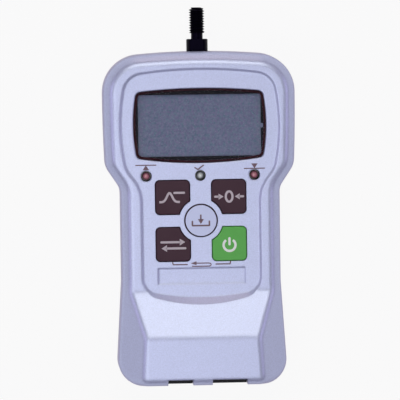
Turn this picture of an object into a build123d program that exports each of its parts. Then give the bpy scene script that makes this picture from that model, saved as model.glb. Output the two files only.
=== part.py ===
from build123d import *
from math import atan2, cos, radians, sqrt, tan
import os

# A hand-held digital force gauge, modelled as it lies on its back, in millimetres.
# +X is to the right of the display, +Y runs along the measuring shaft towards its tip,
# and +Z points out of the display. The origin lies on the rear face, at the middle of the
# four mounting holes.

# Case, outside
case_width = 75.0
case_length = 129.8
case_top_y = 64.5          # the upper end of the case
parting_height = 16.0      # the two shells meet here, level with the measuring shaft
side_rise = 12.2           # the front shell's upright sides, up to the sloped shoulder
shoulder_rise = 3.3        # the shoulder, up to the flat rim round the keypad panel
foot_rise = 6.5            # the raised foot at the lower end, above the rim
side_draft = 1.5           # degrees, both shells
rear_edge_radius = 4.0
shoulder_radius = 3.5

# Plan of the case
top_crown = 2.5            # how far the top end bows out
top_corner_radius = 15.0
side_bow = 0.15            # how far the head's sides bow out above their middle
side_bow_y = 40.0
shoulder_tuck = 0.55       # how far the head's sides draw in before the waist
shoulder_y = 19.95
shoulder_plan_radius = 9.0
waist_width = 62.4
waist_top_y = 11.3
waist_plan_radius = 6.0
flare_start_y = -25.0
flare_plan_radius = 40.0
foot_width = 67.4
foot_corner_radius = 9.5
ramp_start_y = -28.4
ramp_end_y = -46.2
ramp_start_radius = 5.0
ramp_end_radius = 8.0

# Case, inside
wall = 2.2
rear_wall = 2.5
panel_wall = 2.0
lip_height = 1.2           # the rear shell's lip stands inside the front shell's wall
seam_gap = 0.15

# Keypad panel, sunk into the front shell
panel_sink = 0.8
panel_side_rim = 7.15      # from the head's widest point in to the panel
panel_top_rim = 7.2
panel_waist_rim = 8.65
panel_shoulder_drop = 0.85  # the panel's shoulder, below the case's
panel_side_bow_radius = 73.0
panel_crown = 2.35
panel_corner_radius = 7.6
panel_low_corner_radius = 6.0
panel_over_ramp = 2.4      # how far the panel runs under the start of the ramp
panel_low_bow = 2.7
panel_wall_slope = 45.0    # degrees

# Label recess in the panel
label_width = 34.1
label_length = 6.45
label_y = -22.57
label_depth = 0.4
label_wall_slope = 45.0    # degrees

# Display
window_y = 35.75
window_side_rim = 11.65    # from the head's widest point in to the opening
window_length = 29.1       # at the middle, where the ends bow out
window_side_bow = 1.25
window_top_bow = 1.35
window_low_bow = 1.95
window_corner_radius = 2.5
window_seat = 1.0          # ledge that carries the pane
window_sink = 0.2          # pane below the panel
window_thickness = 1.0
gasket_thickness = 0.3
view_side_border = 2.0     # from the opening in to the display's view
view_end_border = 2.575
lcd_margin = 2.5           # glass hidden behind the bezel, each side
lcd_thickness = 2.2
lcd_corner_radius = 0.5
bezel_front = 1.0
bezel_side = 0.6
backlight_thickness = 2.5
backlight_side_reach = 1.0
backlight_end_gap = 0.5
contact_width = 1.6

# Keys
key_width = 13.75          # opening in the panel
key_length = 13.7
key_x = 10.9
key_y = -1.075             # middle of the block of keys
key_pitch_y = 18.25
key_corner_radius = 1.9
round_key_radius = 6.55
round_key_web = 1.95       # panel between the round key and the square keys
key_gap = 0.3              # all round each cap
key_proud = 0.5
key_travel = 0.5
key_flange = 0.9           # hidden flange that keeps the cap in its opening
key_flange_thickness = 1.2
key_edge_radius = 0.4
stem_radius = 2.5
stem_length = 0.55

# Push switches under the keys
switch_side = 6.0
switch_button_radius = 1.7
switch_button_height = 0.6
press_gap = 0.05           # left under a fully pressed key

# Signal lamps
lamp_y = 16.4
lamp_spacing = 21.0
lamp_hole_radius = 2.1
lamp_radius = 1.6
lamp_flange_radius = 1.9
lamp_flange_thickness = 1.0
lamp_sink = 1.5            # lens below the panel
spacer_radius = 2.2
spacer_wall = 0.5
lamp_lead_side = 0.5
lamp_lead_spacing = 2.54

# Boards
board_thickness = 1.6
board_gap = 1.6            # between the two boards, filled by the link connector
display_board_head_gap = 4.9     # from the case's sides, outside, in to the board
display_board_waist_gap = 7.9
display_board_end_gap = 13.5
display_board_step = 0.95        # where the board narrows, below the case's shoulder
display_board_low_y = -25.0
display_post_inset = 2.6         # from the board's sides
display_post_low_inset = 2.8
display_post_rise = 8.25         # above the middle of the window
display_post_drop = 11.75
display_post_end = 3.5           # from the board's lower edge
main_board_gap = 3.2
main_board_top_y = -8.0
main_board_low_y = -48.0
main_board_tongue_width = 40.0
main_post_inset = 2.3
main_post_end = 5.0

# Parts on the boards
link_width = 20.0
link_length = 5.0
link_inset = 1.0
chip_sizes = [(12.0, 12.0, 1.4), (8.0, 10.0, 1.7), (5.0, 4.0, 1.5)]
chip_spots = [(-8.0, 12.0), (9.0, 13.0), (18.0, 6.0)]      # y from the board's lower edge
capacitor_radius = 2.5
capacitor_height = 8.0
capacitor_x = -20.0
capacitor_spots_y = [12.0, 18.0]                           # from the board's lower edge
plug_side = 4.0
plug_inset = 1.0
cell_plug_height = 1.4
cell_plug_x = -10.0
battery_plug_height = 2.3
battery_plug_inset_x = 3.0
battery_plug_y = 15.0                                      # from the board's lower edge

# Fasteners
case_screw_radius = 1.45
case_screw_head_radius = 2.75
case_screw_head_height = 2.0
case_screw_head_gap = 0.45
case_screw_bite = 9.0      # length held in the front shell
case_screw_seat = 8.0      # height of the seat above the rear face
case_screw_inset_x = 7.5
case_screw_top_inset = 9.5
case_screw_low_inset = 7.8
case_screw_foot_inset = 6.7
boss_wall = 1.8
board_screw_radius = 1.0
board_screw_head_radius = 2.0
board_screw_head_height = 1.3
board_screw_bite = 4.0
board_post_radius = 2.35
screw_end_gap = 0.5        # from a screw's end to the bottom of its hole
plate_screw_radius = 1.45
plate_screw_head_radius = 2.7
plate_screw_head_height = 1.6
hole_gap = 0.2             # clearance round a screw's shank
thread_gap = 0.05          # drawn between a shank and its threaded hole

# Chassis plate and rear mounting holes
plate_thickness = 3.0
plate_height = 4.0         # underside, on the rear shell's bosses
plate_side_margin = 4.5    # from the mounting holes out to the plate's edge
plate_low_margin = 6.0
plate_end_gap = 7.5
plate_corner_radius = 4.0
plate_boss_radius = 3.5
plate_screw_end = 6.5
plate_screw_low_y = -13.0
plate_tube_gap = 0.5       # round the case screws' tubes
mount_spacing_x = 36.0
mount_spacing_y = 60.0
mount_hole_radius = 2.0    # M4
bush_radius = 4.0
bush_gap = 0.3

# Measuring shaft
tip_y = 81.5
thread_radius = 3.0        # M6
thread_length = 10.0
thread_chamfer = 0.8
relief_radius = 2.3
relief_length = 2.3
shaft_radius = 4.2
shaft_flats = 6.5          # across the two spanner flats
flats_length = 5.7
case_hole_gap = 0.65
shaft_edge = 0.3
collar_radius = 5.0
collar_length = 2.5
shaft_travel = 0.4         # each way, set by the overload stop
stop_clearance = 0.05      # left at the stop at full travel
stop_y = 54.5              # middle of the stop's upright
stop_thickness = 3.0
stop_width = 26.0
stop_foot_length = 6.0
stop_slot_gap = 0.4
stop_top_gap = 0.5
stub_gap = 0.05            # running clearance of the shaft's inner end
stub_end_gap = 0.5
nut_width = 10.0
nut_thickness = 3.2
nut_gap = 0.4              # between the nut and the inner collar

# Load cell
cell_width = 34.0
cell_length = 38.0
cell_thickness = 9.6
cell_corner_radius = 2.0
cell_slot = 2.0
cell_beam = 13.0           # the middle beam, between the slots
cell_arm = 6.0             # material left at the closed end of each slot
cell_eye_wall = 2.0        # thinnest part of the beam, beside each eye
cell_eye_x = 6.5
cell_hole_floor = 0.9      # from the shaft's bore to the upper slot
cell_foot_gap = 1.5        # from the foot to the lower slot
cell_screw_x = 10.0
cell_screw_radius = 1.95
cell_screw_head_radius = 3.4
cell_screw_head_height = 2.2
strain_pad = 4.0
strain_pad_thickness = 0.15

# Battery pack: four AAA cells side by side
battery_radius = 5.15
battery_length = 44.0
battery_nub_radius = 1.9
battery_nub_length = 1.0
battery_edge_radius = 0.6
battery_count = 4
battery_spacing = 10.35
battery_end_gap = 4.8      # from the lower end of the case, outside
battery_top_gap = 0.2      # under the main board
battery_skin = 0.2
battery_pad_thickness = 0.3
battery_pad_side = 38.0
cradle_x = 14.0
rib = 1.2
pack_end_gap = 0.4

# Sockets at the lower end
pocket_depth = 2.95
pocket_gap = 0.2
pocket_backing = 1.8
socket_height = 11.0
socket_sink = 0.8          # socket face inside the end of the case
power_pocket_x = (-13.8, -4.0)
power_socket_length = 18.0
power_bore_radius = 3.1
power_pin_radius = 1.05
power_bore_depth = 9.5
power_pin_inset = 0.5
data_pocket_x = (3.4, 17.1)
data_socket_length = 19.6
data_mouth_width = 8.5
data_mouth_height = 7.8
data_mouth_depth = 9.0
data_mouth_chamfer = 1.8
data_tongue_width = 5.6
data_tongue_height = 3.2
data_tongue_inset = 1.0

# Leads
lead_radius = 0.6

half_width = case_width / 2
case_low_y = case_top_y - case_length
shaft_height = parting_height
shoulder_height = parting_height + side_rise
rim_height = shoulder_height + shoulder_rise
foot_height = rim_height + foot_rise

panel_height = rim_height - panel_sink
ceiling = panel_height - panel_wall
display_board_top = ceiling - bezel_front - lcd_thickness - backlight_thickness
display_board_base = display_board_top - board_thickness
main_board_top = display_board_base - board_gap
main_board_base = main_board_top - board_thickness
window_top = panel_height - window_sink
gasket_base = window_top - window_thickness - gasket_thickness
window_width = case_width - 2 * window_side_rim
view_width = window_width - 2 * view_side_border
view_length = window_length - 2 * view_end_border
display_board_head_width = case_width - 2 * display_board_head_gap
display_board_waist_width = waist_width - 2 * display_board_waist_gap
display_board_top_y = case_top_y - display_board_end_gap
display_board_step_y = shoulder_y - display_board_step
main_board_width = waist_width - 2 * main_board_gap
upper_key_y = key_y + key_pitch_y / 2
lower_key_y = key_y - key_pitch_y / 2
square_key_notch = round_key_radius + round_key_web
stem_base = ceiling - key_flange_thickness - stem_length
switch_top = stem_base - key_travel - press_gap
plate_top = plate_height + plate_thickness
plate_width = mount_spacing_x + 2 * plate_side_margin
plate_top_y = case_top_y - plate_end_gap
plate_low_y = -mount_spacing_y / 2 - plate_low_margin
screw_tube_radius = case_screw_head_radius + case_screw_head_gap + wall / 2
stop_half = stop_thickness / 2 + shaft_travel + stop_clearance
nut_base_y = stop_y - stop_half - collar_length - nut_gap - nut_thickness
cell_top_y = nut_base_y - shaft_travel - stop_clearance
cell_low_y = cell_top_y - cell_length
cell_bar = (cell_length - cell_beam) / 2 - cell_slot
cell_hole_depth = cell_bar - cell_hole_floor
cell_foot_length = cell_bar - cell_foot_gap
cell_base = shaft_height - cell_thickness / 2
cell_seat = cell_base + cell_thickness - cell_screw_head_height - hole_gap
battery_low_y = case_low_y + battery_end_gap
battery_axis = main_board_base - battery_top_gap - battery_skin - battery_radius
cradle_height = battery_axis - battery_radius - battery_skin - battery_pad_thickness
socket_face_y = case_low_y + socket_sink
pocket_floor_y = case_low_y + pocket_depth
backing_y = pocket_floor_y + pocket_backing

screw_spots = [
    (half_width - case_screw_inset_x, case_top_y - case_screw_top_inset),
    (foot_width / 2 - case_screw_foot_inset, case_low_y + case_screw_low_inset),
]
display_posts = [
    (display_board_head_width / 2 - display_post_inset, window_y + display_post_rise),
    (display_board_head_width / 2 - display_post_inset, window_y - display_post_drop),
    (display_board_waist_width / 2 - display_post_low_inset, display_board_low_y + display_post_end),
]
main_posts = [
    (main_board_width / 2 - main_post_inset, main_board_low_y + main_post_end),
    (main_board_width / 2 - main_post_inset, main_board_top_y - main_post_end),
]
battery_plug_x = main_board_width / 2 - battery_plug_inset_x
square_keys = {
    "key_peak": (-key_x, upper_key_y),
    "key_zero": (key_x, upper_key_y),
    "key_unit": (-key_x, lower_key_y),
    "key_power": (key_x, lower_key_y),
}


def block(x_span, y_span, z_span):
    """A box from its two limits along each axis."""
    spans = (x_span, y_span, z_span)
    sizes = [high - low for low, high in spans]
    middle = [(high + low) / 2 for low, high in spans]
    return Pos(*middle) * Box(*sizes)


def post(x, y, z_span, radius):
    """An upright cylinder."""
    base, top = z_span
    upright = (Align.CENTER, Align.CENTER, Align.MIN)
    return Pos(x, y, base) * Cylinder(radius, top - base, align=upright)


def rod(x, z, y_span, radius):
    """A cylinder along the shaft's direction."""
    low, high = y_span
    return Pos(x, (low + high) / 2, z) * Rot(90, 0, 0) * Cylinder(radius, high - low)


def both_sides(spots):
    """Each spot and its mirror image across the middle plane."""
    return [(side * x, y) for x, y in spots for side in (1, -1)]


def flipped(point):
    return (-point[0], point[1])


def round_corner(face, point, radius):
    """Round the outline's corner at a point and at its mirror image."""
    for x, y in (point, flipped(point)):
        spot = min(face.vertices(), key=lambda v: (v.X - x) ** 2 + (v.Y - y) ** 2)
        face = fillet(spot, radius)
    return face


def raised(face, base, top):
    """Extrude a flat outline between two heights."""
    return extrude(Pos(0, 0, base) * face, top - base)


def upright_faces(solid):
    return [face for face in solid.faces() if abs(face.normal_at(face.center()).Z) < 0.01]


def flare_x(y):
    """Half width of the foot's straight flared side."""
    slope = (foot_width - waist_width) / 2 / (flare_start_y - case_low_y)
    return waist_width / 2 + slope * (flare_start_y - y)


def case_plan(inset=0.0, tail=0.0):
    """Outline of the case, drawn in from its edge by inset.

    With a tail the foot runs on past the lower end, with square corners.
    """
    edge = half_width - inset
    lower_end = case_low_y + inset - tail
    turn = atan2(half_width - shoulder_tuck - waist_width / 2, shoulder_y - waist_top_y)
    lift = inset * tan(turn / 2)
    top = (edge - side_bow, case_top_y - top_crown - inset)
    shoulder = (edge - shoulder_tuck, shoulder_y + lift)
    waist = (waist_width / 2 - inset, waist_top_y + lift)
    flare = (waist_width / 2 - inset, flare_start_y)
    foot = (flare_x(lower_end) - inset, lower_end)
    side = [shoulder, waist, flare, foot]
    outline = Curve() + [
        ThreePointArc(flipped(top), (0, case_top_y - inset), top),
        ThreePointArc(top, (edge, side_bow_y), shoulder),
        Polyline(*side, *[flipped(point) for point in reversed(side)]),
        ThreePointArc(flipped(shoulder), (-edge, side_bow_y), flipped(top)),
    ]
    face = make_face(outline)
    face = round_corner(face, top, top_corner_radius - inset)
    face = round_corner(face, shoulder, shoulder_plan_radius - inset)
    face = round_corner(face, waist, waist_plan_radius + inset)
    face = round_corner(face, flare, flare_plan_radius)
    if not tail:
        face = round_corner(face, foot, foot_corner_radius - inset)
    return face


def flare_plan(inset):
    """The foot's two straight sides, run on into the waist and past the lower end."""
    top = waist_top_y
    low = -case_length
    corners = [(flare_x(top), top), (flare_x(low), low), (-flare_x(low), low), (-flare_x(top), top)]
    return make_face(Polyline(*[(x - inset if x > 0 else x + inset, y) for x, y in corners], close=True))


def drafted(face, top, shoulder=None):
    """Raise an outline from the parting plane with draft, and slope its upper edge from a height."""
    solid = raised(face, parting_height, top)
    solid = draft(upright_faces(solid), Plane.XY.offset(parting_height), side_draft)
    if shoulder is None:
        return solid
    upper_edges = solid.faces().sort_by(Axis.Z)[-1].edges()
    sloped = [edge for edge in upper_edges if edge.center().Y > case_low_y - 1]
    return chamfer(sloped, (top - shoulder) / cos(radians(side_draft)))


def ramp_block(drop, rim, foot, rounded):
    """Everything under the rim, the ramp and the foot; drop lowers the ramp for the inside."""
    slope = (foot_height - rim_height) / (ramp_start_y - ramp_end_y)
    sink = drop * sqrt(1 + slope * slope)
    start = (ramp_start_y - (rim - rim_height + sink) / slope, rim)
    end = (ramp_start_y - (foot - rim_height + sink) / slope, foot)
    far = case_length
    profile = make_face(Polyline((-far, 0), (far, 0), (far, rim), start, end, (-far, foot), close=True))
    if rounded:
        for (y, z), radius in ((start, ramp_start_radius), (end, ramp_end_radius)):
            spot = min(profile.vertices(), key=lambda v: abs(v.X - y) + abs(v.Y - z))
            profile = fillet(spot, radius)
    return extrude(Plane.YZ * profile, case_width, both=True)


def front_form(inset, rim, foot, rounded):
    """The front half's form: drafted sides, a sloped shoulder, the flat rim and the raised foot."""
    shoulder = shoulder_height - inset * (sqrt(2) - 1)
    head = drafted(case_plan(inset, tail=case_width), rim, shoulder)
    flare = drafted(flare_plan(inset), foot, shoulder)
    ends = drafted(case_plan(inset), foot)
    return (head + (flare & ramp_block(inset, rim, foot, rounded))) & ends


def soften(form):
    """Round every edge between the sides, the shoulder and the top faces."""
    kinds = {"side": [], "shoulder": [], "top": [], "base": []}
    for face in form.faces():
        tilt = face.normal_at(face.center()).Z
        kind = "top" if tilt > cos(radians(30)) else "shoulder" if tilt > cos(radians(60)) else "side"
        kinds[kind if tilt > -0.1 else "base"].extend(face.edges())
    meeting = []
    for one, other in (("side", "shoulder"), ("shoulder", "top"), ("side", "top")):
        meeting += [edge for edge in kinds[one] if any(edge.is_same(mate) for mate in kinds[other])]
    return fillet(meeting, shoulder_radius)


def panel_outline():
    """The panel's floor: bowed head, shoulders like the case's, narrow waist and bowed lower edge."""
    side = half_width - panel_side_rim
    top = case_top_y - panel_top_rim
    waist = waist_width / 2 - panel_waist_rim
    low = ramp_start_y - panel_over_ramp
    bow = panel_side_bow_radius

    def side_x(y):
        return side - bow + sqrt(bow * bow - (y - window_y) ** 2)

    top_corner = (side_x(top - panel_crown), top - panel_crown)
    shoulder_low = shoulder_y - panel_shoulder_drop
    shoulder = (side_x(shoulder_low), shoulder_low)
    waist_top = (waist, waist_top_y)
    low_corner = (waist, low + panel_low_bow)
    outline = Curve() + [
        ThreePointArc(flipped(top_corner), (0, top), top_corner),
        ThreePointArc(top_corner, (side, window_y), shoulder),
        Polyline(shoulder, waist_top, low_corner),
        ThreePointArc(low_corner, (0, low), flipped(low_corner)),
        Polyline(flipped(low_corner), flipped(waist_top), flipped(shoulder)),
        ThreePointArc(flipped(shoulder), (-side, window_y), flipped(top_corner)),
    ]
    face = make_face(outline)
    face = round_corner(face, top_corner, panel_corner_radius)
    face = round_corner(face, shoulder, shoulder_plan_radius)
    face = round_corner(face, waist_top, shoulder_plan_radius + waist_plan_radius)
    return round_corner(face, low_corner, panel_low_corner_radius)


def panel_cut():
    """The sunk panel with sloped walls, cut up through the start of the ramp."""
    block_above = raised(panel_outline(), panel_height, foot_height)
    return draft(upright_faces(block_above), Plane.XY.offset(panel_height), -panel_wall_slope)


def label_recess():
    """A shallow recess with sloped walls."""
    reach = 2 * label_depth * tan(radians(label_wall_slope))
    floor = Pos(0, label_y) * Rectangle(label_width - reach, label_length - reach)
    floor_height = panel_height - label_depth
    block_above = raised(floor, floor_height, panel_height + label_depth)
    return draft(upright_faces(block_above), Plane.XY.offset(floor_height), -label_wall_slope)


def window_outline(inset=0.0):
    """The display opening, bowed on all four sides."""
    half_x = window_width / 2 - inset
    high = window_y + window_length / 2 - inset
    low = window_y - window_length / 2 + inset
    top = (half_x - window_side_bow, high - window_top_bow)
    base = (half_x - window_side_bow, low + window_low_bow)
    outline = Curve() + [
        ThreePointArc(flipped(top), (0, high), top),
        ThreePointArc(top, (half_x, window_y), base),
        ThreePointArc(base, (0, low), flipped(base)),
        ThreePointArc(flipped(base), (-half_x, window_y), flipped(top)),
    ]
    radius = window_corner_radius - inset
    return round_corner(round_corner(make_face(outline), top, radius), base, radius)


def square_key_outline(centre, grow, notch):
    """A square key's outline, with its inner corner cut round the middle key."""
    x, y = centre
    size = (key_width + 2 * grow, key_length + 2 * grow)
    face = Pos(x, y) * RectangleRounded(*size, key_corner_radius + grow)
    return face - Pos(0, key_y) * Circle(notch)


def key_openings():
    cuts = post(0, key_y, (ceiling - 1, foot_height), round_key_radius)
    for centre in square_keys.values():
        cuts += raised(square_key_outline(centre, 0.0, square_key_notch), ceiling - 1, foot_height)
    return cuts


def socket_pockets():
    """Recesses in the lower end, open to the front, that the two sockets reach into."""
    base = main_board_top - pocket_gap
    cuts = Part()
    for pocket in (power_pocket_x, data_pocket_x):
        cuts += block(pocket, (case_low_y - 1, pocket_floor_y), (base, foot_height + 1))
    return cuts


def socket_openings():
    base = main_board_top - pocket_gap
    top = main_board_top + socket_height + pocket_gap
    cuts = Part()
    for pocket in (power_pocket_x, data_pocket_x):
        cuts += block(pocket, (case_low_y - 1, backing_y + 1), (base, top))
    return cuts


def socket_backing():
    backing = Part()
    for left, right in (power_pocket_x, data_pocket_x):
        span = (left - pocket_backing, right + pocket_backing)
        backing += block(span, (case_low_y, backing_y), (parting_height + lip_height + 1, foot_height))
    return backing


def shaft_hole():
    return rod(0, shaft_height, (case_top_y - 3 * wall, case_top_y + 1), shaft_radius + case_hole_gap)


def front_case():
    form = soften(front_form(0.0, rim_height, foot_height, True))
    void = front_form(wall, ceiling, foot_height - wall, False)
    lip_seat = raised(case_plan(wall / 2), parting_height, parting_height + lip_height + seam_gap)
    inside = Part() + socket_backing()
    for x, y in both_sides(screw_spots):
        inside += post(x, y, (parting_height, foot_height), case_screw_radius + boss_wall)
    for x, y in both_sides(display_posts):
        inside += post(x, y, (display_board_top, ceiling + 1), board_post_radius)
    shell = form - void - lip_seat + (inside & form)
    shell -= panel_cut()
    shell -= raised(window_outline(window_seat), ceiling - 1, panel_height + 1)
    shell -= raised(window_outline(), gasket_base, panel_height + 1)
    shell -= label_recess()
    shell -= key_openings()
    for side in (-1, 0, 1):
        shell -= post(side * lamp_spacing, lamp_y, (ceiling - 1, panel_height + 1), lamp_hole_radius)
    shell -= socket_pockets() + socket_openings() + shaft_hole()
    for x, y in both_sides(screw_spots):
        pilot_top = parting_height + case_screw_bite + screw_end_gap
        shell -= post(x, y, (parting_height, pilot_top), case_screw_radius + thread_gap)
    for x, y in both_sides(display_posts):
        pilot = (display_board_top, display_board_top + board_screw_bite + screw_end_gap)
        shell -= post(x, y, pilot, board_screw_radius + thread_gap)
    return shell


def mount_spots():
    x, y = mount_spacing_x / 2, mount_spacing_y / 2
    return both_sides([(x, y), (x, -y)])


def plate_screw_spots():
    x = mount_spacing_x / 2
    return both_sides([(x, plate_top_y - plate_screw_end), (x, plate_screw_low_y)])


def cradle():
    """Ribs on the rear shell's floor that hold the battery pack from below and at its ends."""
    low = battery_low_y + rib
    high = plate_low_y - 2 * rib
    ribs = Part()
    for side in (1, -1):
        x = side * cradle_x
        ribs += block((x - rib / 2, x + rib / 2), (low, high), (rear_wall - 1, cradle_height))
        end = side * (battery_length / 2 + battery_skin + pack_end_gap + rib / 2)
        ribs += block((end - rib / 2, end + rib / 2), (low, high), (rear_wall - 1, battery_axis))
    return ribs


def rear_case():
    form = raised(case_plan(), 0, parting_height)
    form = draft(upright_faces(form), Plane.XY.offset(parting_height), -side_draft)
    form = fillet(form.faces().sort_by(Axis.Z)[0].edges(), rear_edge_radius)
    void = raised(case_plan(wall), rear_wall, parting_height + 1)
    void = draft(upright_faces(void), Plane.XY.offset(parting_height), -side_draft)
    lip_ring = case_plan(wall / 2 + seam_gap) - case_plan(wall)
    lip = raised(lip_ring, parting_height - 1, parting_height + lip_height)
    tubes = Part()
    for x, y in both_sides(screw_spots):
        lip -= post(x, y, (parting_height, foot_height), case_screw_radius + boss_wall + seam_gap)
        tubes += post(x, y, (0, parting_height), screw_tube_radius)
    shell = form - void + (tubes & form) + lip + cradle()
    for x, y in both_sides(main_posts):
        shell += post(x, y, (rear_wall - 1, main_board_base), board_post_radius)
        pilot = (main_board_base - board_screw_bite, main_board_base)
        shell -= post(x, y, pilot, board_screw_radius + thread_gap)
    for x, y in plate_screw_spots():
        shell += post(x, y, (rear_wall - 1, plate_height), plate_boss_radius)
        shell -= post(x, y, (rear_wall / 2, plate_height), plate_screw_radius + thread_gap)
    for x, y in mount_spots():
        shell -= post(x, y, (-1, plate_height), bush_radius + bush_gap)
    for x, y in both_sides(screw_spots):
        shell -= post(x, y, (-1, case_screw_seat), case_screw_head_radius + case_screw_head_gap)
        shell -= post(x, y, (-1, parting_height + 1), case_screw_radius + hole_gap)
    return shell - shaft_hole()


def pan_screw(x, y, seat, up, radius, bite, head_radius, head_height):
    """A screw whose head rests on a seat; up is +1 when the shank points up, else -1."""
    shank = post(x, y, sorted((seat, seat + up * bite)), radius)
    head = post(x, y, sorted((seat, seat - up * head_height)), head_radius)
    outer = head.faces().sort_by(Axis.Z)[0 if up > 0 else -1]
    return shank + fillet(outer.edges(), head_height / 3)


def case_screws():
    bite = parting_height - case_screw_seat + case_screw_bite
    size = (case_screw_radius, bite, case_screw_head_radius, case_screw_head_height)
    return [pan_screw(x, y, case_screw_seat, 1, *size) for x, y in both_sides(screw_spots)]


def display_board_screws():
    bite = board_thickness + board_screw_bite
    size = (board_screw_radius, bite, board_screw_head_radius, board_screw_head_height)
    return [pan_screw(x, y, display_board_base, 1, *size) for x, y in both_sides(display_posts)]


def main_board_screws():
    bite = board_thickness + board_screw_bite - screw_end_gap
    size = (board_screw_radius, bite, board_screw_head_radius, board_screw_head_height)
    return [pan_screw(x, y, main_board_top, -1, *size) for x, y in both_sides(main_posts)]


def chassis_screws():
    bite = plate_top - rear_wall / 2 - screw_end_gap
    size = (plate_screw_radius, bite, plate_screw_head_radius, plate_screw_head_height)
    return [pan_screw(x, y, plate_top, -1, *size) for x, y in plate_screw_spots()]


def display_window():
    """The clear pane, seated on its gasket in the panel's opening."""
    return raised(window_outline(seam_gap), window_top - window_thickness, window_top)


def window_gasket():
    ring = window_outline(seam_gap) - window_outline(window_seat)
    return raised(ring, gasket_base, gasket_base + gasket_thickness)


def lcd_plan(grow):
    width = view_width + 2 * (lcd_margin + grow)
    length = view_length + 2 * (lcd_margin + grow)
    return Pos(0, window_y) * RectangleRounded(width, length, lcd_corner_radius + grow)


def lcd_bezel():
    """Black frame that presses the display glass up to the panel and stands on the board."""
    shell = raised(lcd_plan(seam_gap + bezel_side), display_board_top, ceiling)
    shell -= raised(lcd_plan(seam_gap), display_board_top, ceiling - bezel_front)
    view = Pos(0, window_y) * Rectangle(view_width, view_length)
    return shell - raised(view, ceiling - bezel_front - 1, ceiling + 1)


def lcd_glass():
    top = ceiling - bezel_front
    return raised(lcd_plan(0.0), top - lcd_thickness, top)


def lcd_backlight():
    width = view_width + 2 * backlight_side_reach
    length = view_length - 2 * backlight_end_gap
    plan = Pos(0, window_y) * Rectangle(width, length)
    return raised(plan, display_board_top, display_board_top + backlight_thickness)


def lcd_contacts():
    """Two elastomer strips that join the glass to the board along its long edges."""
    reach = view_length / 2 + lcd_margin - contact_width
    strips = []
    for side in (1, -1):
        y = window_y + side * reach
        span = (y - contact_width / 2, y + contact_width / 2)
        top = display_board_top + backlight_thickness
        strips.append(block((-view_width / 2, view_width / 2), span, (display_board_top, top)))
    return strips


def display_board():
    """The board behind the panel, wide in the head and narrow in the waist."""
    head = block_plan(display_board_head_width, display_board_step_y, display_board_top_y)
    waist = block_plan(display_board_waist_width, display_board_low_y, display_board_step_y + 1)
    board = raised(head + waist, display_board_base, display_board_top)
    for x, y in both_sides(display_posts):
        board -= post(x, y, (display_board_base - 1, display_board_top + 1), board_screw_radius + hole_gap)
    return board


def block_plan(width, low, high):
    return Pos(0, (low + high) / 2) * Rectangle(width, high - low)


def main_board():
    """The lower board, with a tongue that carries the sockets."""
    body = block_plan(main_board_width, main_board_low_y, main_board_top_y)
    tongue = block_plan(main_board_tongue_width, backing_y + pocket_gap, main_board_low_y + 1)
    board = raised(body + tongue, main_board_base, main_board_top)
    for x, y in both_sides(main_posts):
        board -= post(x, y, (main_board_base - 1, main_board_top + 1), board_screw_radius + hole_gap)
    return board


def board_link():
    """The low connector between the two boards."""
    low = display_board_low_y + link_inset
    z_span = (main_board_top, display_board_base)
    return block((-link_width / 2, link_width / 2), (low, low + link_length), z_span)


def board_chips():
    """Flat packages on the main board: the processor, the converter and the charger."""
    upright = (Align.CENTER, Align.CENTER, Align.MIN)
    chips = []
    for (x, rise), size in zip(chip_spots, chip_sizes):
        chips.append(Pos(x, main_board_low_y + rise, main_board_top) * Box(*size, align=upright))
    return chips


def board_capacitors():
    span = (main_board_top, main_board_top + capacitor_height)
    return [post(capacitor_x, main_board_low_y + rise, span, capacitor_radius) for rise in capacitor_spots_y]


def key_switches():
    """Low push switches on the display board, one under each key."""
    switches = []
    for x, y in [(0, key_y), *square_keys.values()]:
        half = switch_side / 2
        base = (display_board_top, switch_top - switch_button_height)
        body = block((x - half, x + half), (y - half, y + half), base)
        switches.append(body + post(x, y, (base[1], switch_top), switch_button_radius))
    return switches


def key_cap(outline, flange, centre):
    """A key: rounded cap, hidden flange under the panel, and the stem that works the switch."""
    x, y = centre
    cap = raised(outline, ceiling - 0.5, panel_height + key_proud)
    cap = fillet(cap.faces().sort_by(Axis.Z)[-1].edges(), key_edge_radius)
    foot = raised(flange, ceiling - key_flange_thickness, ceiling)
    return cap + foot + post(x, y, (stem_base, ceiling - key_flange_thickness), stem_radius)


def square_key(centre):
    outline = square_key_outline(centre, -key_gap, square_key_notch + key_gap)
    flange = square_key_outline(centre, key_flange, square_key_notch - key_flange / 2)
    return key_cap(outline, flange, centre)


def key_memory():
    outline = Pos(0, key_y) * Circle(round_key_radius - key_gap)
    flange = Pos(0, key_y) * Circle(round_key_radius + key_flange / 2)
    return key_cap(outline, flange, (0, key_y))


def lamp(x):
    """A signal lamp: domed lens, flange and two leads down to the board."""
    seat = lamp_seat()
    tip = panel_height - lamp_sink
    flange_top = seat + lamp_flange_thickness
    dome_base = tip - lamp_radius
    profile = make_face(Curve() + [
        Polyline((0, tip), (0, seat), (lamp_flange_radius, seat), (lamp_flange_radius, flange_top),
                 (lamp_radius, flange_top), (lamp_radius, dome_base)),
        RadiusArc((lamp_radius, dome_base), (0, tip), -lamp_radius),
    ])
    lens = Pos(x, lamp_y, 0) * revolve(Plane.XZ * profile, Axis.Z)
    half = lamp_lead_side / 2
    for side in (1, -1):
        lead_x = x + side * lamp_lead_spacing / 2
        y_span = (lamp_y - half, lamp_y + half)
        lens += block((lead_x - half, lead_x + half), y_span, (display_board_top, seat))
    return lens


def lamp_seat():
    return panel_height - lamp_sink - 2 * lamp_radius - lamp_flange_thickness


def lamp_spacers():
    """Short tubes that hold the lamps up to the panel."""
    tubes = []
    for side in (-1, 0, 1):
        x = side * lamp_spacing
        span = (display_board_top, lamp_seat())
        bore = post(x, lamp_y, span, spacer_radius - spacer_wall)
        tubes.append(post(x, lamp_y, span, spacer_radius) - bore)
    return tubes


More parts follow.
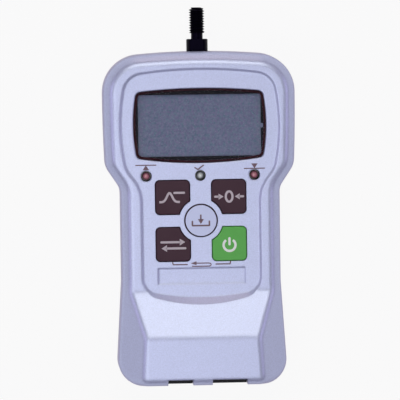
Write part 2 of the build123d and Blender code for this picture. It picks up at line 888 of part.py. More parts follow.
def power_socket():
    """Round power inlet with its centre pin."""
    left, right = power_pocket_x
    middle = (left + right) / 2
    height = main_board_top + socket_height / 2
    y_span = (socket_face_y, socket_face_y + power_socket_length)
    z_span = (main_board_top, main_board_top + socket_height)
    body = block((left + pocket_gap, right - pocket_gap), y_span, z_span)
    depth = (socket_face_y, socket_face_y + power_bore_depth)
    body -= rod(middle, height, (depth[0] - 1, depth[1]), power_bore_radius)
    return body + rod(middle, height, (depth[0] + power_pin_inset, depth[1] + 1), power_pin_radius)


def data_socket():
    """Square data socket with its tongue."""
    left, right = data_pocket_x
    middle = (left + right) / 2
    height = main_board_top + socket_height / 2
    y_span = (socket_face_y, socket_face_y + data_socket_length)
    z_span = (main_board_top, main_board_top + socket_height)
    body = block((left + pocket_gap, right - pocket_gap), y_span, z_span)
    mouth = Rectangle(data_mouth_width, data_mouth_height)
    mouth = chamfer(mouth.vertices().sort_by(Axis.Y)[-2:], data_mouth_chamfer)
    along = Plane((middle, socket_face_y, height), x_dir=(1, 0, 0), z_dir=(0, -1, 0))
    body -= extrude(along * mouth, -data_mouth_depth)
    tongue = extrude(along * Rectangle(data_tongue_width, data_tongue_height), -data_mouth_depth - 1)
    clear = (socket_face_y - 1, socket_face_y + data_tongue_inset)
    return body + (tongue - block((left, right), clear, z_span))


def chassis_plate():
    """The plate that carries the load from the cell to the rear mounting bushes."""
    middle = (plate_top_y + plate_low_y) / 2
    plan = Pos(0, middle) * RectangleRounded(plate_width, plate_top_y - plate_low_y, plate_corner_radius)
    plate = raised(plan, plate_height, plate_top)
    for x, y in mount_spots():
        plate -= post(x, y, (plate_height - 1, plate_top + 1), bush_radius + thread_gap)
    for x, y in plate_screw_spots():
        plate -= post(x, y, (plate_height - 1, plate_top + 1), plate_screw_radius + hole_gap)
    for x, y in cell_screw_spots():
        plate -= post(x, y, (plate_height - 1, plate_top + 1), cell_screw_radius + thread_gap)
    for x, y in stop_screw_spots():
        plate -= post(x, y, (plate_height - 1, plate_top + 1), plate_screw_radius + thread_gap)
    for x, y in both_sides(screw_spots):
        plate -= post(x, y, (plate_height - 1, plate_top + 1), screw_tube_radius + plate_tube_gap)
    return plate


def mounting_bushes():
    """Threaded bushes pressed into the plate, flush with the rear face."""
    return [post(x, y, (0, plate_top), bush_radius) - post(x, y, (-1, plate_top + 1), mount_hole_radius)
            for x, y in mount_spots()]


def cell_screw_spots():
    y = cell_low_y + cell_foot_length / 2
    return [(-cell_screw_x, y), (cell_screw_x, y)]


def stop_screw_spots():
    y = stop_y - stop_thickness / 2 - stop_foot_length / 2
    return [(-cell_screw_x, y), (cell_screw_x, y)]


def load_cell_foot():
    """Spacer block between the load cell and the plate."""
    y_span = (cell_low_y, cell_low_y + cell_foot_length)
    foot = block((-cell_width / 2, cell_width / 2), y_span, (plate_top, cell_base))
    for x, y in cell_screw_spots():
        foot -= post(x, y, (plate_top - 1, cell_base + 1), cell_screw_radius + hole_gap)
    return foot


def load_cell():
    """Flat S-shaped cell: two outer bars and a middle beam weakened by two joined eyes."""
    middle = (cell_low_y + cell_top_y) / 2
    plan = Pos(0, middle) * RectangleRounded(cell_width, cell_length, cell_corner_radius)
    edge = cell_width / 2
    for side in (1, -1):
        y = middle + side * (cell_length / 2 - cell_bar - cell_slot / 2)
        centre = -side * cell_arm / 2
        slot = Pos(centre, y) * Rectangle(2 * edge - cell_arm, cell_slot)
        plan -= slot + Pos(side * (edge - cell_arm), y) * Circle(cell_slot * 0.75)
    plan -= Pos(0, middle) * Rectangle(2 * cell_eye_x, cell_slot)
    for side in (1, -1):
        plan -= Pos(side * cell_eye_x, middle) * Circle(cell_beam / 2 - cell_eye_wall)
    cell = raised(plan, cell_base, cell_base + cell_thickness)
    cell -= rod(0, shaft_height, (cell_top_y - cell_hole_depth, cell_top_y + 1), thread_radius + stub_gap)
    for x, y in cell_screw_spots():
        cell -= post(x, y, (cell_base - 1, cell_seat), cell_screw_radius + hole_gap)
        sunk = (cell_seat, cell_base + cell_thickness + 1)
        cell -= post(x, y, sunk, cell_screw_head_radius + 2 * hole_gap)
    return cell


def load_cell_screws():
    bite = cell_seat - plate_height
    size = (cell_screw_radius, bite, cell_screw_head_radius, cell_screw_head_height)
    return [pan_screw(x, y, cell_seat, -1, *size) for x, y in cell_screw_spots()]


def strain_gauges():
    """Four foil gauges on the faces of the middle beam, beside its eyes."""
    middle = (cell_low_y + cell_top_y) / 2
    reach = cell_length / 2 - cell_bar - cell_slot
    pads = []
    for x in (-cell_eye_x, cell_eye_x):
        for side in (1, -1):
            face = middle + side * reach
            span = sorted((face, face + side * strain_pad_thickness))
            z_span = (shaft_height - strain_pad / 2, shaft_height + strain_pad / 2)
            pads.append(block((x - strain_pad / 2, x + strain_pad / 2), span, z_span))
    return pads


def overload_stop():
    """Angle bracket whose slotted upright stands between the shaft's two collars."""
    face = stop_y - stop_thickness / 2
    foot = (face - stop_foot_length, face + stop_thickness)
    half = stop_width / 2
    bracket = block((-half, half), foot, (plate_top, plate_top + stop_thickness))
    top = display_board_base - stop_top_gap
    bracket += block((-half, half), (face, face + stop_thickness), (plate_top, top))
    slot = thread_radius + stop_slot_gap
    bracket -= rod(0, shaft_height, (face - 1, face + stop_thickness + 1), slot)
    bracket -= block((-slot, slot), (face - 1, face + stop_thickness + 1), (shaft_height, top + 1))
    for x, y in stop_screw_spots():
        bracket -= post(x, y, (plate_top - 1, plate_top + stop_thickness + 1), plate_screw_radius + hole_gap)
    return bracket


def stop_screws():
    bite = stop_thickness + plate_thickness
    size = (plate_screw_radius, bite, plate_screw_head_radius, plate_screw_head_height)
    seat = plate_top + stop_thickness
    return [pan_screw(x, y, seat, -1, *size) for x, y in stop_screw_spots()]


def measuring_shaft():
    """Threaded tip, relief, flatted shaft, two stop collars with a neck, and the inner stub."""
    relief_top = tip_y - thread_length
    shaft_top = relief_top - relief_length
    stub_end = cell_top_y - cell_hole_depth + stub_end_gap + shaft_travel
    tip = rod(0, shaft_height, (relief_top, tip_y), thread_radius)
    shaft = chamfer(tip.faces().sort_by(Axis.Y)[-1].edges(), thread_chamfer)
    shaft += rod(0, shaft_height, (shaft_top, relief_top), relief_radius)
    body = rod(0, shaft_height, (stop_y + stop_half, shaft_top), shaft_radius)
    body = chamfer(body.faces().sort_by(Axis.Y)[-1].edges(), shaft_edge)
    for side in (1, -1):
        flat = sorted((shaft_height + side * shaft_flats / 2, shaft_height + side * shaft_radius * 2))
        body -= block((-2 * shaft_radius, 2 * shaft_radius), (shaft_top - flats_length, shaft_top + 1), flat)
    collars = (stop_y - stop_half - collar_length, stop_y + stop_half + collar_length)
    shaft += body
    shaft += rod(0, shaft_height, (collars[0], stop_y - stop_half), collar_radius)
    shaft += rod(0, shaft_height, (stop_y + stop_half, collars[1]), collar_radius)
    shaft += rod(0, shaft_height, (stub_end, stop_y + stop_half), thread_radius)
    return shaft


def shaft_nut():
    """Thin lock nut on the shaft's inner end, drawn clear of the load cell by the travel."""
    plan = RegularPolygon(nut_width / 2, 6, major_radius=False) - Circle(thread_radius + thread_gap)
    across = Plane((0, nut_base_y, shaft_height), x_dir=(1, 0, 0), z_dir=(0, 1, 0))
    return extrude(across * plan, nut_thickness)


def battery_rows():
    first = battery_low_y + battery_radius + battery_skin
    return [first + index * battery_spacing for index in range(battery_count)]


def battery_cells():
    """Rechargeable cells lying across the case, their ends turned about one after another."""
    body_length = battery_length - battery_nub_length
    cells = []
    for index, y in enumerate(battery_rows()):
        upright = (Align.CENTER, Align.CENTER, Align.MIN)
        cell = Cylinder(battery_radius, body_length, align=upright)
        cell = fillet(cell.edges().filter_by(GeomType.CIRCLE), battery_edge_radius)
        cell += Pos(0, 0, body_length) * Cylinder(battery_nub_radius, battery_nub_length, align=upright)
        turn = 90 if index % 2 else -90
        start = -battery_length / 2 if index % 2 else battery_length / 2
        cells.append(Pos(start, y, battery_axis) * Rot(0, turn, 0) * cell)
    return cells


def battery_wrap():
    """Shrink sleeve round the whole pack."""
    rows = battery_rows()
    middle = (rows[0] + rows[-1]) / 2
    span = rows[-1] - rows[0]
    across = Plane((0, middle, battery_axis), x_dir=(0, 1, 0), z_dir=(1, 0, 0))
    inner = battery_radius + thread_gap
    outer = inner + battery_skin - thread_gap
    ring = SlotCenterToCenter(span, 2 * outer) - SlotCenterToCenter(span, 2 * inner)
    return extrude(across * ring, battery_length / 2 - battery_nub_length, both=True)


def battery_pad():
    """Thin foam pad under the pack, on the cradle."""
    middle = (battery_low_y + plate_low_y) / 2
    half = battery_pad_side / 2
    length = (battery_low_y + 2 * rib, plate_low_y - 2 * rib)
    return block((-half, half), length, (cradle_height, cradle_height + battery_pad_thickness))


def plug(x, y, z_span):
    """A small plug whose outer end is at y."""
    return block((x - plug_side / 2, x + plug_side / 2), (y - plug_side, y), z_span)


def lead_plugs():
    """The small plugs of the two internal leads, above and below the main board."""
    above = (main_board_top, main_board_top + cell_plug_height)
    below = (main_board_base - battery_plug_height, main_board_base)
    return [plug(cell_plug_x, main_board_top_y - plug_inset, above),
            plug(battery_plug_x, main_board_low_y + battery_plug_y, below)]


def lead(points):
    """A round lead along straight runs joined by tangent arcs."""
    radii = []
    for before, here, after in zip(points, points[1:], points[2:]):
        first = Vector(*here) - Vector(*before)
        second = Vector(*after) - Vector(*here)
        half_turn = radians(first.get_angle(second)) / 2
        radii.append(0.45 * min(first.length, second.length) / tan(half_turn))
    path = FilletPolyline(*points, radius=radii)
    start = Plane(path @ 0, z_dir=path % 0)
    return sweep(start * Circle(lead_radius), path=path)


def load_cell_lead():
    """From the cell's low end up to its plug, bent at each third of the way."""
    height = main_board_top + cell_plug_height / 2
    end = main_board_top_y - plug_inset
    third = (cell_low_y - end) / 3
    bends = [(cell_low_y - third, shaft_height), (end + third, height)]
    places = [(cell_low_y, shaft_height), *bends, (end, height)]
    return lead([(cell_plug_x, y, z) for y, z in places])


def battery_lead():
    """From the last cell's end, round the end of the pack, up to the plug under the board."""
    start_y = battery_rows()[-1]
    end = main_board_low_y + battery_plug_y
    height = main_board_base - battery_plug_height / 2
    bend = (start_y + end) / 2
    x = battery_plug_x
    return lead([(battery_length / 2, start_y, battery_axis), (x, start_y, battery_axis),
                 (x, bend, height), (x, end, height)])


def save(name, shape):
    """Write one node; a list of solids is written as one group."""
    group = Compound(children=list(shape)) if isinstance(shape, list) else shape
    export_step(group, f"parts/{name}.step")


def main():
    os.makedirs("parts", exist_ok=True)
    nodes = {
        "front_case": front_case(),
        "rear_case": rear_case(),
        "case_screws": case_screws(),
        "display_window": display_window(),
        "window_gasket": window_gasket(),
        "lcd_bezel": lcd_bezel(),
        "lcd_glass": lcd_glass(),
        "lcd_backlight": lcd_backlight(),
        "lcd_contacts": lcd_contacts(),
        "display_board": display_board(),
        "display_board_screws": display_board_screws(),
        "key_switches": key_switches(),
        "limit_lamps": [lamp(-lamp_spacing), lamp(lamp_spacing)],
        "ok_lamp": lamp(0),
        "lamp_spacers": lamp_spacers(),
        "main_board": main_board(),
        "main_board_screws": main_board_screws(),
        "board_link": board_link(),
        "board_chips": board_chips(),
        "board_capacitors": board_capacitors(),
        "power_socket": power_socket(),
        "data_socket": data_socket(),
        "chassis_plate": chassis_plate(),
        "chassis_screws": chassis_screws(),
        "mounting_bushes": mounting_bushes(),
        "load_cell_foot": load_cell_foot(),
        "load_cell": load_cell(),
        "load_cell_screws": load_cell_screws(),
        "strain_gauges": strain_gauges(),
        "overload_stop": overload_stop(),
        "stop_screws": stop_screws(),
        "battery_cells": battery_cells(),
        "battery_wrap": battery_wrap(),
        "battery_pad": battery_pad(),
        "lead_plugs": lead_plugs(),
        "load_cell_lead": load_cell_lead(),
        "battery_lead": battery_lead(),
        "measuring_shaft": measuring_shaft(),
        "shaft_nut": shaft_nut(),
        "key_memory": key_memory(),
    }
    for name, centre in square_keys.items():
        nodes[name] = square_key(centre)
    for name, shape in nodes.items():
        save(name, shape)


main()
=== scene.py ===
# %% [markdown]
# # A hand-held force gauge
# The gauge lies on its back on a white table, and the camera looks down on its display. Its case, keys,
# boards and load cell come from the CAD model, each as a node that already has its real size and place.
# This lesson dresses that model: it cuts the screw threads, prints the signs on the keys, adds the metal in
# the sockets, and gives every piece a finish made of shader nodes.

import bmesh
import bpy
import numpy as np
from mathutils import Matrix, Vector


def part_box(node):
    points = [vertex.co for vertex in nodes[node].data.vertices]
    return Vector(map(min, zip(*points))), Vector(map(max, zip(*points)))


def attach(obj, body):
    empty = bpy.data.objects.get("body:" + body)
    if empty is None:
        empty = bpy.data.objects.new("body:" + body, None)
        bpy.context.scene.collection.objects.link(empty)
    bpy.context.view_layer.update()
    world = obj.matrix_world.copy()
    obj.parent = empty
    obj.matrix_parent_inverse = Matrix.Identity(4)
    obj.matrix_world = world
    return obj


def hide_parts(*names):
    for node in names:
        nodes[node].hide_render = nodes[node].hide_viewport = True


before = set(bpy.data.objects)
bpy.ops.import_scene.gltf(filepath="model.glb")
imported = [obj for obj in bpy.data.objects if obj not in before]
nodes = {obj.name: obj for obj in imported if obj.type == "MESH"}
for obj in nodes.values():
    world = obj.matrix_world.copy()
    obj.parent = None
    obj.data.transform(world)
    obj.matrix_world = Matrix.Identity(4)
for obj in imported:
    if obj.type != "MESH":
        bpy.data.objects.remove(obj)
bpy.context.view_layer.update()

# %% [markdown]
# ## Camera
# The picture was taken from above with a long lens, nearly square to the table. Three small turns place
# it: the camera stands a little towards the shaft, a little to the left, and it is rolled by under a
# degree. A long lens far away keeps the sides of the case almost upright, as in the photograph.

# %% Camera
MM = 0.001
distance = 1100 * MM
pitch, yaw, roll = np.radians([3.5, 2.5, 0.8112])
aim = np.array([0.17, 6.24, 20.0]) * MM
back = np.array([-np.sin(yaw), np.sin(pitch), 0.0])
back[2] = np.sqrt(1 - back @ back)
level = np.cross([0, 1, 0], back)
level /= np.linalg.norm(level)
upward = np.cross(back, level)
right = np.cos(roll) * level - np.sin(roll) * upward
upward = np.sin(roll) * level + np.cos(roll) * upward

camera = bpy.data.objects.new("camera", bpy.data.cameras.new("camera"))
camera.data.lens = 252.95
camera.data.sensor_width = 36
turn = Matrix(np.column_stack([right, upward, back]).tolist()).to_4x4()
camera.matrix_world = Matrix.Translation(aim + distance * back) @ turn
bpy.context.scene.collection.objects.link(camera)
bpy.context.scene.camera = camera
print("camera stands at", [round(float(x), 3) for x in camera.matrix_world.translation])

# %% [markdown]
# ## A material is a sum
# A finish is easiest to read as arithmetic: grain plus wear, times a mask. The class below wraps a node's
# output, so Python's own operators add the Math nodes. A second class holds one material: its method `node`
# adds any node from its type, its settings and its inputs. Constants go straight onto the shader.

# %% Shader arithmetic
class Number:
    """A number that varies over a surface. Each operator adds one Math node."""

    def __init__(self, finish, socket):
        self.finish = finish
        self.socket = socket

    def maths(self, operation, *terms):
        return self.finish.node("Math", {"operation": operation}, dict(enumerate(terms)))

    def __add__(self, other):
        return self.maths("ADD", self, other)

    def __mul__(self, other):
        return self.maths("MULTIPLY", self, other)

    def __sub__(self, other):
        return self.maths("SUBTRACT", self, other)

    def __rsub__(self, other):
        return self.maths("SUBTRACT", other, self)

    def __truediv__(self, other):
        return self.maths("DIVIDE", self, other)

    def __gt__(self, other):
        return self.maths("GREATER_THAN", self, other)

    def __lt__(self, other):
        return self.maths("LESS_THAN", self, other)

    def __abs__(self):
        return self.maths("ABSOLUTE", self)

    def power(self, other):
        return self.maths("POWER", self, other)

    __radd__ = __add__
    __rmul__ = __mul__


class Finish:
    """One material. Its patterns read Object coordinates, which are metres in the model's own frame."""

    def __init__(self, name, **constants):
        self.material = bpy.data.materials.new(name)
        self.material.use_nodes = True
        self.tree = self.material.node_tree
        self.shader = self.tree.nodes["Principled BSDF"]
        for words, value in constants.items():
            self.shader.inputs[words.replace("_", " ")].default_value = value
        self.place = self.node("TexCoord", {}, {}, "Object")

    def node(self, kind, settings, inputs, output=0):
        made = self.tree.nodes.new("ShaderNode" + kind)
        for setting, value in settings.items():
            setattr(made, setting, value)
        for socket, value in inputs.items():
            if isinstance(value, Number):
                self.tree.links.new(value.socket, made.inputs[socket])
            else:
                made.inputs[socket].default_value = value
        return Number(self, made.outputs[output])

    def feed(self, socket, value):
        self.tree.links.new(value.socket, self.shader.inputs[socket])
        return self

    def axis(self, letter):
        """One coordinate of the surface, in millimetres."""
        return self.node("SeparateXYZ", {}, {0: self.place}, "XYZ".index(letter)) * 1000

    def noise(self, size_mm, detail=2.0, stretch=(1, 1, 1)):
        """Soft noise from 0 to 1 whose blotches are about size_mm across, stretched along the axes."""
        place = self.place
        if stretch != (1, 1, 1):
            place = self.node("Mapping", {}, {"Vector": place, "Scale": stretch})
        return self.node("TexNoise", {}, {"Vector": place, "Scale": 1000 / size_mm, "Detail": detail})

    def specks(self, size_mm):
        """A random grey from 0 to 1 in each small cell, like flakes in a paint."""
        return self.node("TexVoronoi", {}, {"Vector": self.place, "Scale": 1000 / size_mm}, "Color")

    def blend(self, mask, low, high):
        """The colour low where mask is 0 and high where it is 1."""
        inputs = {"Factor": mask, 6: low, 7: high}
        return self.node("Mix", {"data_type": "RGBA"}, inputs, 2)

    def bump(self, height, depth_mm, normal=None):
        """Raises the surface by height times depth_mm, on top of a bent normal if one is given."""
        inputs = {"Height": height, "Distance": depth_mm * MM, "Strength": 1.0}
        if normal is not None:
            inputs["Normal"] = normal
        return self.node("Bump", {}, inputs)


def rgb(red, green, blue):
    """A colour written as 8-bit display values, turned into the linear values that shaders use."""
    value = np.array([red, green, blue]) / 255
    linear = np.where(value <= 0.04045, value / 12.92, ((value + 0.055) / 1.055) ** 2.4)
    return (*[float(x) for x in linear], 1.0)


def shade(colour, factor):
    """The same colour, lighter or darker."""
    return (*[min(1.0, float(x) * factor) for x in colour[:3]], 1.0)


def wear(piece, finish):
    """Gives a CAD node or a new piece its finish."""
    piece.data.materials.clear()
    piece.data.materials.append(finish if isinstance(finish, bpy.types.Material) else finish.material)
    return piece


print("shader classes are ready")

# %% [markdown]
# ## Painted case
# The two shells are moulded and sprayed in a silver-lilac metallic paint with a fine grain. Under a soft
# lamp the paint is lightest where it faces half-way between lamp and eye, which is the metal flake's doing,
# so the finish is partly metallic, with a satin roughness. Fine noise gives the orange-peel grain, small
# cells the flakes, and slow noise the faint unevenness of a used case. The specular tint is a dull violet,
# so that the steep sides mirror less of the white table. A dark line marks the joint of the shells.
# Sprayed paint also fills inner corners and rounds outer ones. A Bevel node does that to the shading near
# each edge, over a smaller width round the keys, where the gaps are crisp.

# %% Painted case
lilac = rgb(192, 199, 229)
parting_height = 16.0  # the shells meet here, level with the measuring shaft; lengths are in mm
seam_width = 0.22
soft_edge, crisp_edge = 0.9, 0.2
keypad_reach = 18.5


def painted_case():
    """Colour = lilac x (flakes + grain + unevenness), dark in the seam; edges bend the normal nearby."""
    paint = Finish("silver_lilac_paint", Metallic=0.40, Roughness=0.32, Specular_IOR_Level=0.15,
                   Specular_Tint=(0.30, 0.16, 0.24, 1))
    flakes = paint.specks(0.28)
    slow = paint.noise(18, 3)
    grain = paint.noise(0.55, 3)
    tone = flakes * 0.45 + grain * 0.45 + slow * 0.25
    colour = paint.blend(tone, shade(lilac, 0.81), shade(lilac, 1.17))
    seam = abs(paint.axis("Z") - parting_height) < seam_width / 2
    paint.feed("Base Color", paint.blend(seam, colour, shade(lilac, 0.16)))
    paint.feed("Roughness", 0.27 + 0.06 * slow + 0.06 * grain)
    by_keys = (abs(paint.axis("X")) < keypad_reach) * (abs(paint.axis("Y")) < keypad_reach)
    radius = (soft_edge - by_keys * (soft_edge - crisp_edge)) * MM
    edges = paint.node("Bevel", {"samples": 8}, {"Radius": radius})
    paint.feed("Normal", paint.bump(seam * -0.6 + grain * 0.06 + flakes * 0.015, 0.25, edges))
    return paint


paint = painted_case()
for name in ("front_case", "rear_case"):
    wear(nodes[name], paint)
print("case painted, nodes:", len(paint.tree.nodes))

# %% [markdown]
# ## Moulded plastics
# Keys, sockets, frames and packages are all injection moulded: a plain colour with a fine spark-eroded
# grain, and a little polish where fingers rub. One function makes them all, from a colour, a roughness and
# the grain's size and depth. The polish is a slow noise that lowers the roughness in patches.

# %% Moulded plastics
def moulded(name, colour, roughness=0.45, grain_mm=0.25, depth_mm=0.01, polish=0.15, gloss=0.5):
    """Colour x fine mottling, roughness - polish x slow noise, height = grain."""
    plastic = Finish(name, Roughness=roughness, Specular_IOR_Level=gloss)
    grain = plastic.noise(grain_mm, 3)
    slow = plastic.noise(5.0, 2)
    mottle = plastic.blend(grain * 0.6 + slow * 0.4, shade(colour, 0.86), shade(colour, 1.14))
    plastic.feed("Base Color", mottle)
    plastic.feed("Roughness", roughness + polish * 0.5 - slow * polish)
    plastic.feed("Normal", plastic.bump(grain, depth_mm))
    return plastic


key_brown = moulded("brown_key", rgb(68, 44, 56), 0.50, grain_mm=0.35, depth_mm=0.018, gloss=0.2)
key_green = moulded("green_key", rgb(98, 182, 88), 0.45, grain_mm=0.35, depth_mm=0.015, gloss=0.2)
black = moulded("black_plastic", rgb(12, 11, 24), 0.45, gloss=0.2)
gloss_black = moulded("gloss_black_plastic", rgb(10, 8, 22), 0.25, grain_mm=0.5, depth_mm=0.004,
                      polish=0.08, gloss=0.12)
seal = moulded("maroon_seal", rgb(58, 14, 28), 0.55, gloss=0.2)
nylon = moulded("natural_nylon", rgb(226, 222, 208), 0.35)
guide_white = moulded("white_light_guide", rgb(232, 232, 228), 0.30)
strip_pink = moulded("contact_strip", rgb(196, 140, 146), 0.60, grain_mm=0.12, depth_mm=0.02)
sleeve_blue = moulded("blue_shrink_sleeve", rgb(40, 84, 160), 0.28, grain_mm=1.2, depth_mm=0.03)
sleeve_dark = moulded("dark_capacitor_sleeve", rgb(28, 34, 66), 0.25)
foam = moulded("grey_foam", rgb(92, 92, 92), 0.85, grain_mm=0.4, depth_mm=0.12, polish=0.05)
lead_grey = moulded("grey_lead", rgb(128, 128, 132), 0.5)
lead_red = moulded("red_lead", rgb(170, 34, 30), 0.45)
amber = moulded("amber_foil", rgb(190, 130, 50), 0.30, grain_mm=0.08)

plastics = {
    "key_peak": key_brown, "key_zero": key_brown, "key_unit": key_brown, "key_power": key_green,
    "lcd_bezel": black, "window_gasket": seal, "lcd_backlight": guide_white,
    "lcd_contacts": strip_pink, "key_switches": gloss_black, "lamp_spacers": black, "board_link": nylon,
    "board_chips": black, "board_capacitors": sleeve_dark, "power_socket": gloss_black,
    "data_socket": gloss_black, "strain_gauges": amber, "battery_wrap": sleeve_blue, "battery_pad": foam,
    "lead_plugs": nylon, "load_cell_lead": lead_grey, "battery_lead": lead_red,
}
for name, finish in plastics.items():
    wear(nodes[name], finish)
print("plastic nodes:", len(plastics))

# %% [markdown]
# ## Memory key
# The round key has the colour of the case and a thin dark ring at its rim. The ring belongs to the finish: it
# starts where the distance from the key's middle, worked out from the coordinates, passes a radius.

# %% Memory key
key_middle_y = -1.075
ring_radius = 6.0


def memory_key():
    """Colour = brown where sqrt(x^2 + (y - middle)^2) > ring_radius, and the case's lilac elsewhere."""
    made = Finish("lilac_key", Metallic=0.4, Roughness=0.45, Specular_IOR_Level=0.3)
    reach = (made.axis("X").power(2) + (made.axis("Y") - key_middle_y).power(2)).power(0.5)
    grain = made.noise(0.30, 3)
    colour = made.blend(grain, shade(lilac, 0.97), shade(lilac, 1.13))
    made.feed("Base Color", made.blend(reach > ring_radius, colour, rgb(74, 50, 66)))
    made.feed("Roughness", 0.40 + 0.12 * grain)
    made.feed("Normal", made.bump(grain, 0.01))
    return made


wear(nodes["key_memory"], memory_key())
print("memory key wears", nodes["key_memory"].data.materials[0].name)

# %% [markdown]
# ## Metals
# Milled and turned metal shows where the tool went: fine lines along the cut. Noise stretched by a factor of
# thirty along one axis gives those lines, in the roughness and in a very shallow bump. The shaft is steel
# with a black oxide skin. That skin isn't metallic: it takes up nearly all light and reflects very little.

# %% Metals
def metal(name, colour, roughness, stretch=(1, 1, 1), line_mm=0.3, depth_mm=0.004, metallic=1.0):
    """Stained colour with tool lines: noise squeezed across the cut, in roughness and height."""
    made = Finish(name, Metallic=metallic, Roughness=roughness)
    lines = made.noise(line_mm, 3, stretch)
    stain = made.noise(6.0, 3)
    made.feed("Base Color", made.blend(stain, shade(colour, 0.85), shade(colour, 1.1)))
    made.feed("Roughness", roughness - 0.06 + 0.12 * lines + 0.08 * stain)
    made.feed("Normal", made.bump(lines, depth_mm))
    return made


zinc = metal("zinc_screw", rgb(196, 198, 202), 0.34)
milled = metal("milled_aluminium", rgb(204, 205, 208), 0.36, (1, 0.03, 1))
brass = metal("turned_brass", rgb(206, 172, 96), 0.28, (1, 1, 0.03))
gold = metal("gold_contact", rgb(226, 188, 104), 0.25)
plated = metal("plated_steel", rgb(150, 152, 158), 0.38, (0.03, 1, 1))
can = metal("battery_can", rgb(180, 184, 190), 0.30, (0.03, 1, 1))
oxide = metal("black_oxide", rgb(4, 3, 9), 0.26, (1, 0.05, 1), 0.25, 0.006, metallic=0.0)
oxide.shader.inputs["Specular IOR Level"].default_value = 0.06
oxide.shader.inputs["Specular Tint"].default_value = (0.45, 0.35, 1.0, 1)

metals = {
    "case_screws": zinc, "display_board_screws": zinc, "main_board_screws": zinc, "chassis_screws": zinc,
    "load_cell_screws": zinc, "stop_screws": zinc, "chassis_plate": milled, "load_cell": milled,
    "load_cell_foot": milled, "mounting_bushes": brass, "overload_stop": plated, "battery_cells": can,
    "measuring_shaft": oxide, "shaft_nut": oxide,
}
for name, finish in metals.items():
    wear(nodes[name], finish)
print("metal nodes:", len(metals))

# %% [markdown]
# ## Circuit boards
# A board is green where solder mask lies over bare laminate, and a lighter green over copper. A Voronoi
# pattern that measures distance city-block fashion makes the square-cornered patches of copper.

# %% Circuit boards
def circuit_board():
    """Light green where the block pattern is high, dark elsewhere, with a raised edge between them."""
    board = Finish("green_board", Roughness=0.3, Coat_Weight=0.4, Coat_Roughness=0.1)
    blocks = board.node("TexVoronoi", {"distance": "MANHATTAN"},
                        {"Vector": board.place, "Scale": 260.0, "Randomness": 0.6}, "Distance")
    copper = blocks > 0.55
    board.feed("Base Color", board.blend(copper, rgb(18, 72, 44), rgb(44, 112, 66)))
    board.feed("Normal", board.bump(copper * 0.4 + board.noise(0.2) * 0.1, 0.05))
    return board


board = circuit_board()
for name in ("display_board", "main_board"):
    wear(nodes[name], board)
print("boards finished, nodes:", len(board.tree.nodes))

# %% [markdown]
# ## Display
# The display is off: its glass is an even blue-grey, with the faint grain of the polarising film. The pane
# over it is clear and hard. A true glass shader would keep the lamps' light from the display below, so
# the pane is mostly transparent by its alpha, and keeps its gloss.

# %% Display and pane
def display_grey():
    """Light or dark by film grain + slow unevenness; both greys run from teal to purple by a mottle."""
    glass = Finish("display_grey", Roughness=0.40, Specular_IOR_Level=0.2)
    film = glass.noise(0.8, 5)
    slow = glass.noise(14.0, 2, (1, 2, 1))
    mottle = (glass.noise(1.2, 3, (1.2, 1, 1)) - 0.5) * 2.6 + 0.5
    dark = glass.blend(mottle, rgb(100, 123, 152), rgb(122, 117, 160))
    light = glass.blend(mottle, rgb(138, 167, 187), rgb(164, 161, 197))
    tone = (film - 0.5) * 1.3 + 0.4 + slow * 0.2
    glass.feed("Base Color", glass.blend(tone, dark, light))
    glass.feed("Normal", glass.bump(film, 0.004))
    return glass


def clear_pane():
    """Alpha is low all over, a little higher where slow noise stands for finger marks."""
    pane = Finish("clear_pane", Roughness=0.04, IOR=1.45, Specular_IOR_Level=0.12)
    marks = pane.noise(6.0, 4)
    pane.feed("Base Color", pane.blend(marks, rgb(16, 16, 34), rgb(24, 26, 44)))
    pane.feed("Alpha", 0.08 + 0.05 * marks)
    pane.feed("Roughness", 0.03 + 0.08 * marks)
    return pane


wear(nodes["lcd_glass"], display_grey())
wear(nodes["display_window"], clear_pane())
low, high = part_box("display_window")
print("pane in mm:", [round(1000 * size, 1) for size in high - low])

# %% [markdown]
# ## Signal lamps
# Each lamp is a small domed lens. The outer two are a tinted red, dull because they are off, and the middle
# one is nearly clear. The colour depends on the height of the surface, and the top of the dome is lighter
# than its base. The pale top is partly the light cup inside the lens and partly a painted highlight. The
# dark base is painted shade where the lens sits in its hole.

# %% Signal lamps
lens_foot, lens_height = 27.6, 1.6


def lens(name, shaded_base, cup_and_highlight, power):
    """Colour runs from the base's colour to the top's by (rise / lens height)^power, under a clear coat.

    The dark base is painted shade. The pale top is partly the light cup and partly a painted highlight.
    """
    made = Finish(name, Roughness=0.25, Coat_Weight=1.0, Coat_Roughness=0.03)
    rise = (made.axis("Z") - lens_foot) / lens_height
    speck = made.noise(0.5, 2)
    # Painted shade at the base of the dome, and a painted highlight over the light cup's pale disc at its
    # top.
    made.feed("Base Color", made.blend((rise * 0.8 + speck * 0.3).power(power), shaded_base, cup_and_highlight))
    made.feed("Roughness", 0.2 + 0.1 * speck)
    return made


# Each lens's first colour is painted shade. Its second is partly a painted highlight.
wear(nodes["limit_lamps"], lens("dull_red_lens", rgb(60, 32, 48), rgb(206, 132, 144), 1.5))
wear(nodes["ok_lamp"], lens("clear_lens", rgb(50, 54, 62), rgb(244, 248, 244), 3.0))
finishes = {node.data.materials[0].name for node in nodes.values()}
print("finishes on the nodes:", len(finishes))

# %% [markdown]
# ## A surface from a grid
# New pieces are grids of points: rows along one parameter, columns along the other. The helper joins
# neighbouring points into quads, closes the grid round either parameter, and caps the ends. Points that fall
# together, as at the tip of a shaft, are merged, and the normals are then turned outwards.

